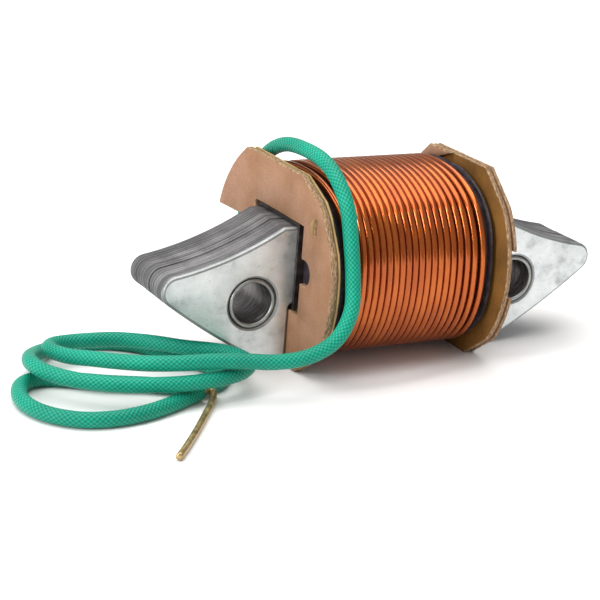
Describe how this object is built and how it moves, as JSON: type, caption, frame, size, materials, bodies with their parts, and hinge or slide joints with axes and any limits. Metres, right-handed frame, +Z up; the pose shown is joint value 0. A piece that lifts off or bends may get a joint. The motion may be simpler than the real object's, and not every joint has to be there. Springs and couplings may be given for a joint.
{
  "type": "ignition coil",
  "caption": "Stator coil for a small-engine flywheel magneto: laminated dog-bone core screwed down at both poles, heavy enamelled winding between fibre flanges, sleeved lead with a bare end",
  "frame": {"origin": "centre of the bottom of the bounding box of the coil without its lead: midway between the pole tips, on the bottom flats of the flanges", "axes": "+X along the coil axis, from the pole at the lead's end to the other pole; +Y through the lamination stack, towards the mounting plate; +Z up, away from the pole faces and the flywheel rim they meet"},
  "size_m": [0.0828, 0.044, 0.0279],
  "materials": {
    "plate_steel": "satin",
    "sheet_steel": "matte",
    "rivet_steel": "satin",
    "fibre_board": "matte",
    "fibre_liner": "matte",
    "core_insulation": "matte",
    "black_wrap": "satin",
    "enamelled_copper": "gloss",
    "bare_wire": "satin",
    "solder": "satin",
    "green_sleeving": "satin"
  },
  "bodies": {
    "root": {"core_plate_front": "plate_steel", "core_lamination_01": "sheet_steel", "core_lamination_02": "sheet_steel", "core_lamination_03": "sheet_steel", "core_lamination_04": "sheet_steel", "core_lamination_05": "sheet_steel", "core_lamination_06": "sheet_steel", "core_lamination_07": "sheet_steel", "core_lamination_08": "sheet_steel", "core_lamination_09": "sheet_steel", "core_lamination_10": "sheet_steel", "core_lamination_11": "sheet_steel", "core_lamination_12": "sheet_steel", "core_lamination_13": "sheet_steel", "core_lamination_14": "sheet_steel", "core_lamination_15": "sheet_steel", "core_lamination_16": "sheet_steel", "core_plate_back": "plate_steel", "left_tubular_rivet": "rivet_steel", "right_tubular_rivet": "rivet_steel", "left_flange_outer_ply": "fibre_board", "right_flange_inner_ply": "fibre_board", "right_flange_outer_ply": "fibre_board", "left_flange_liner": "fibre_liner", "right_flange_packing": "fibre_liner", "core_sleeve": "core_insulation", "winding_layer_1": "enamelled_copper", "winding_layer_2": "enamelled_copper", "layer_wrap_1": "core_insulation", "winding_layer_3": "enamelled_copper", "winding_layer_4": "enamelled_copper", "layer_wrap_2": "core_insulation", "winding_layer_5": "enamelled_copper", "cover_wrap": "black_wrap", "winding_layer_6": "enamelled_copper", "earth_wire_sleeve": "core_insulation", "earth_wire": "bare_wire", "earth_solder": "solder", "finish_wire": "enamelled_copper", "lead_sleeve": "green_sleeving", "lead_wire_end": "bare_wire"}
  },
  "joints": []
}
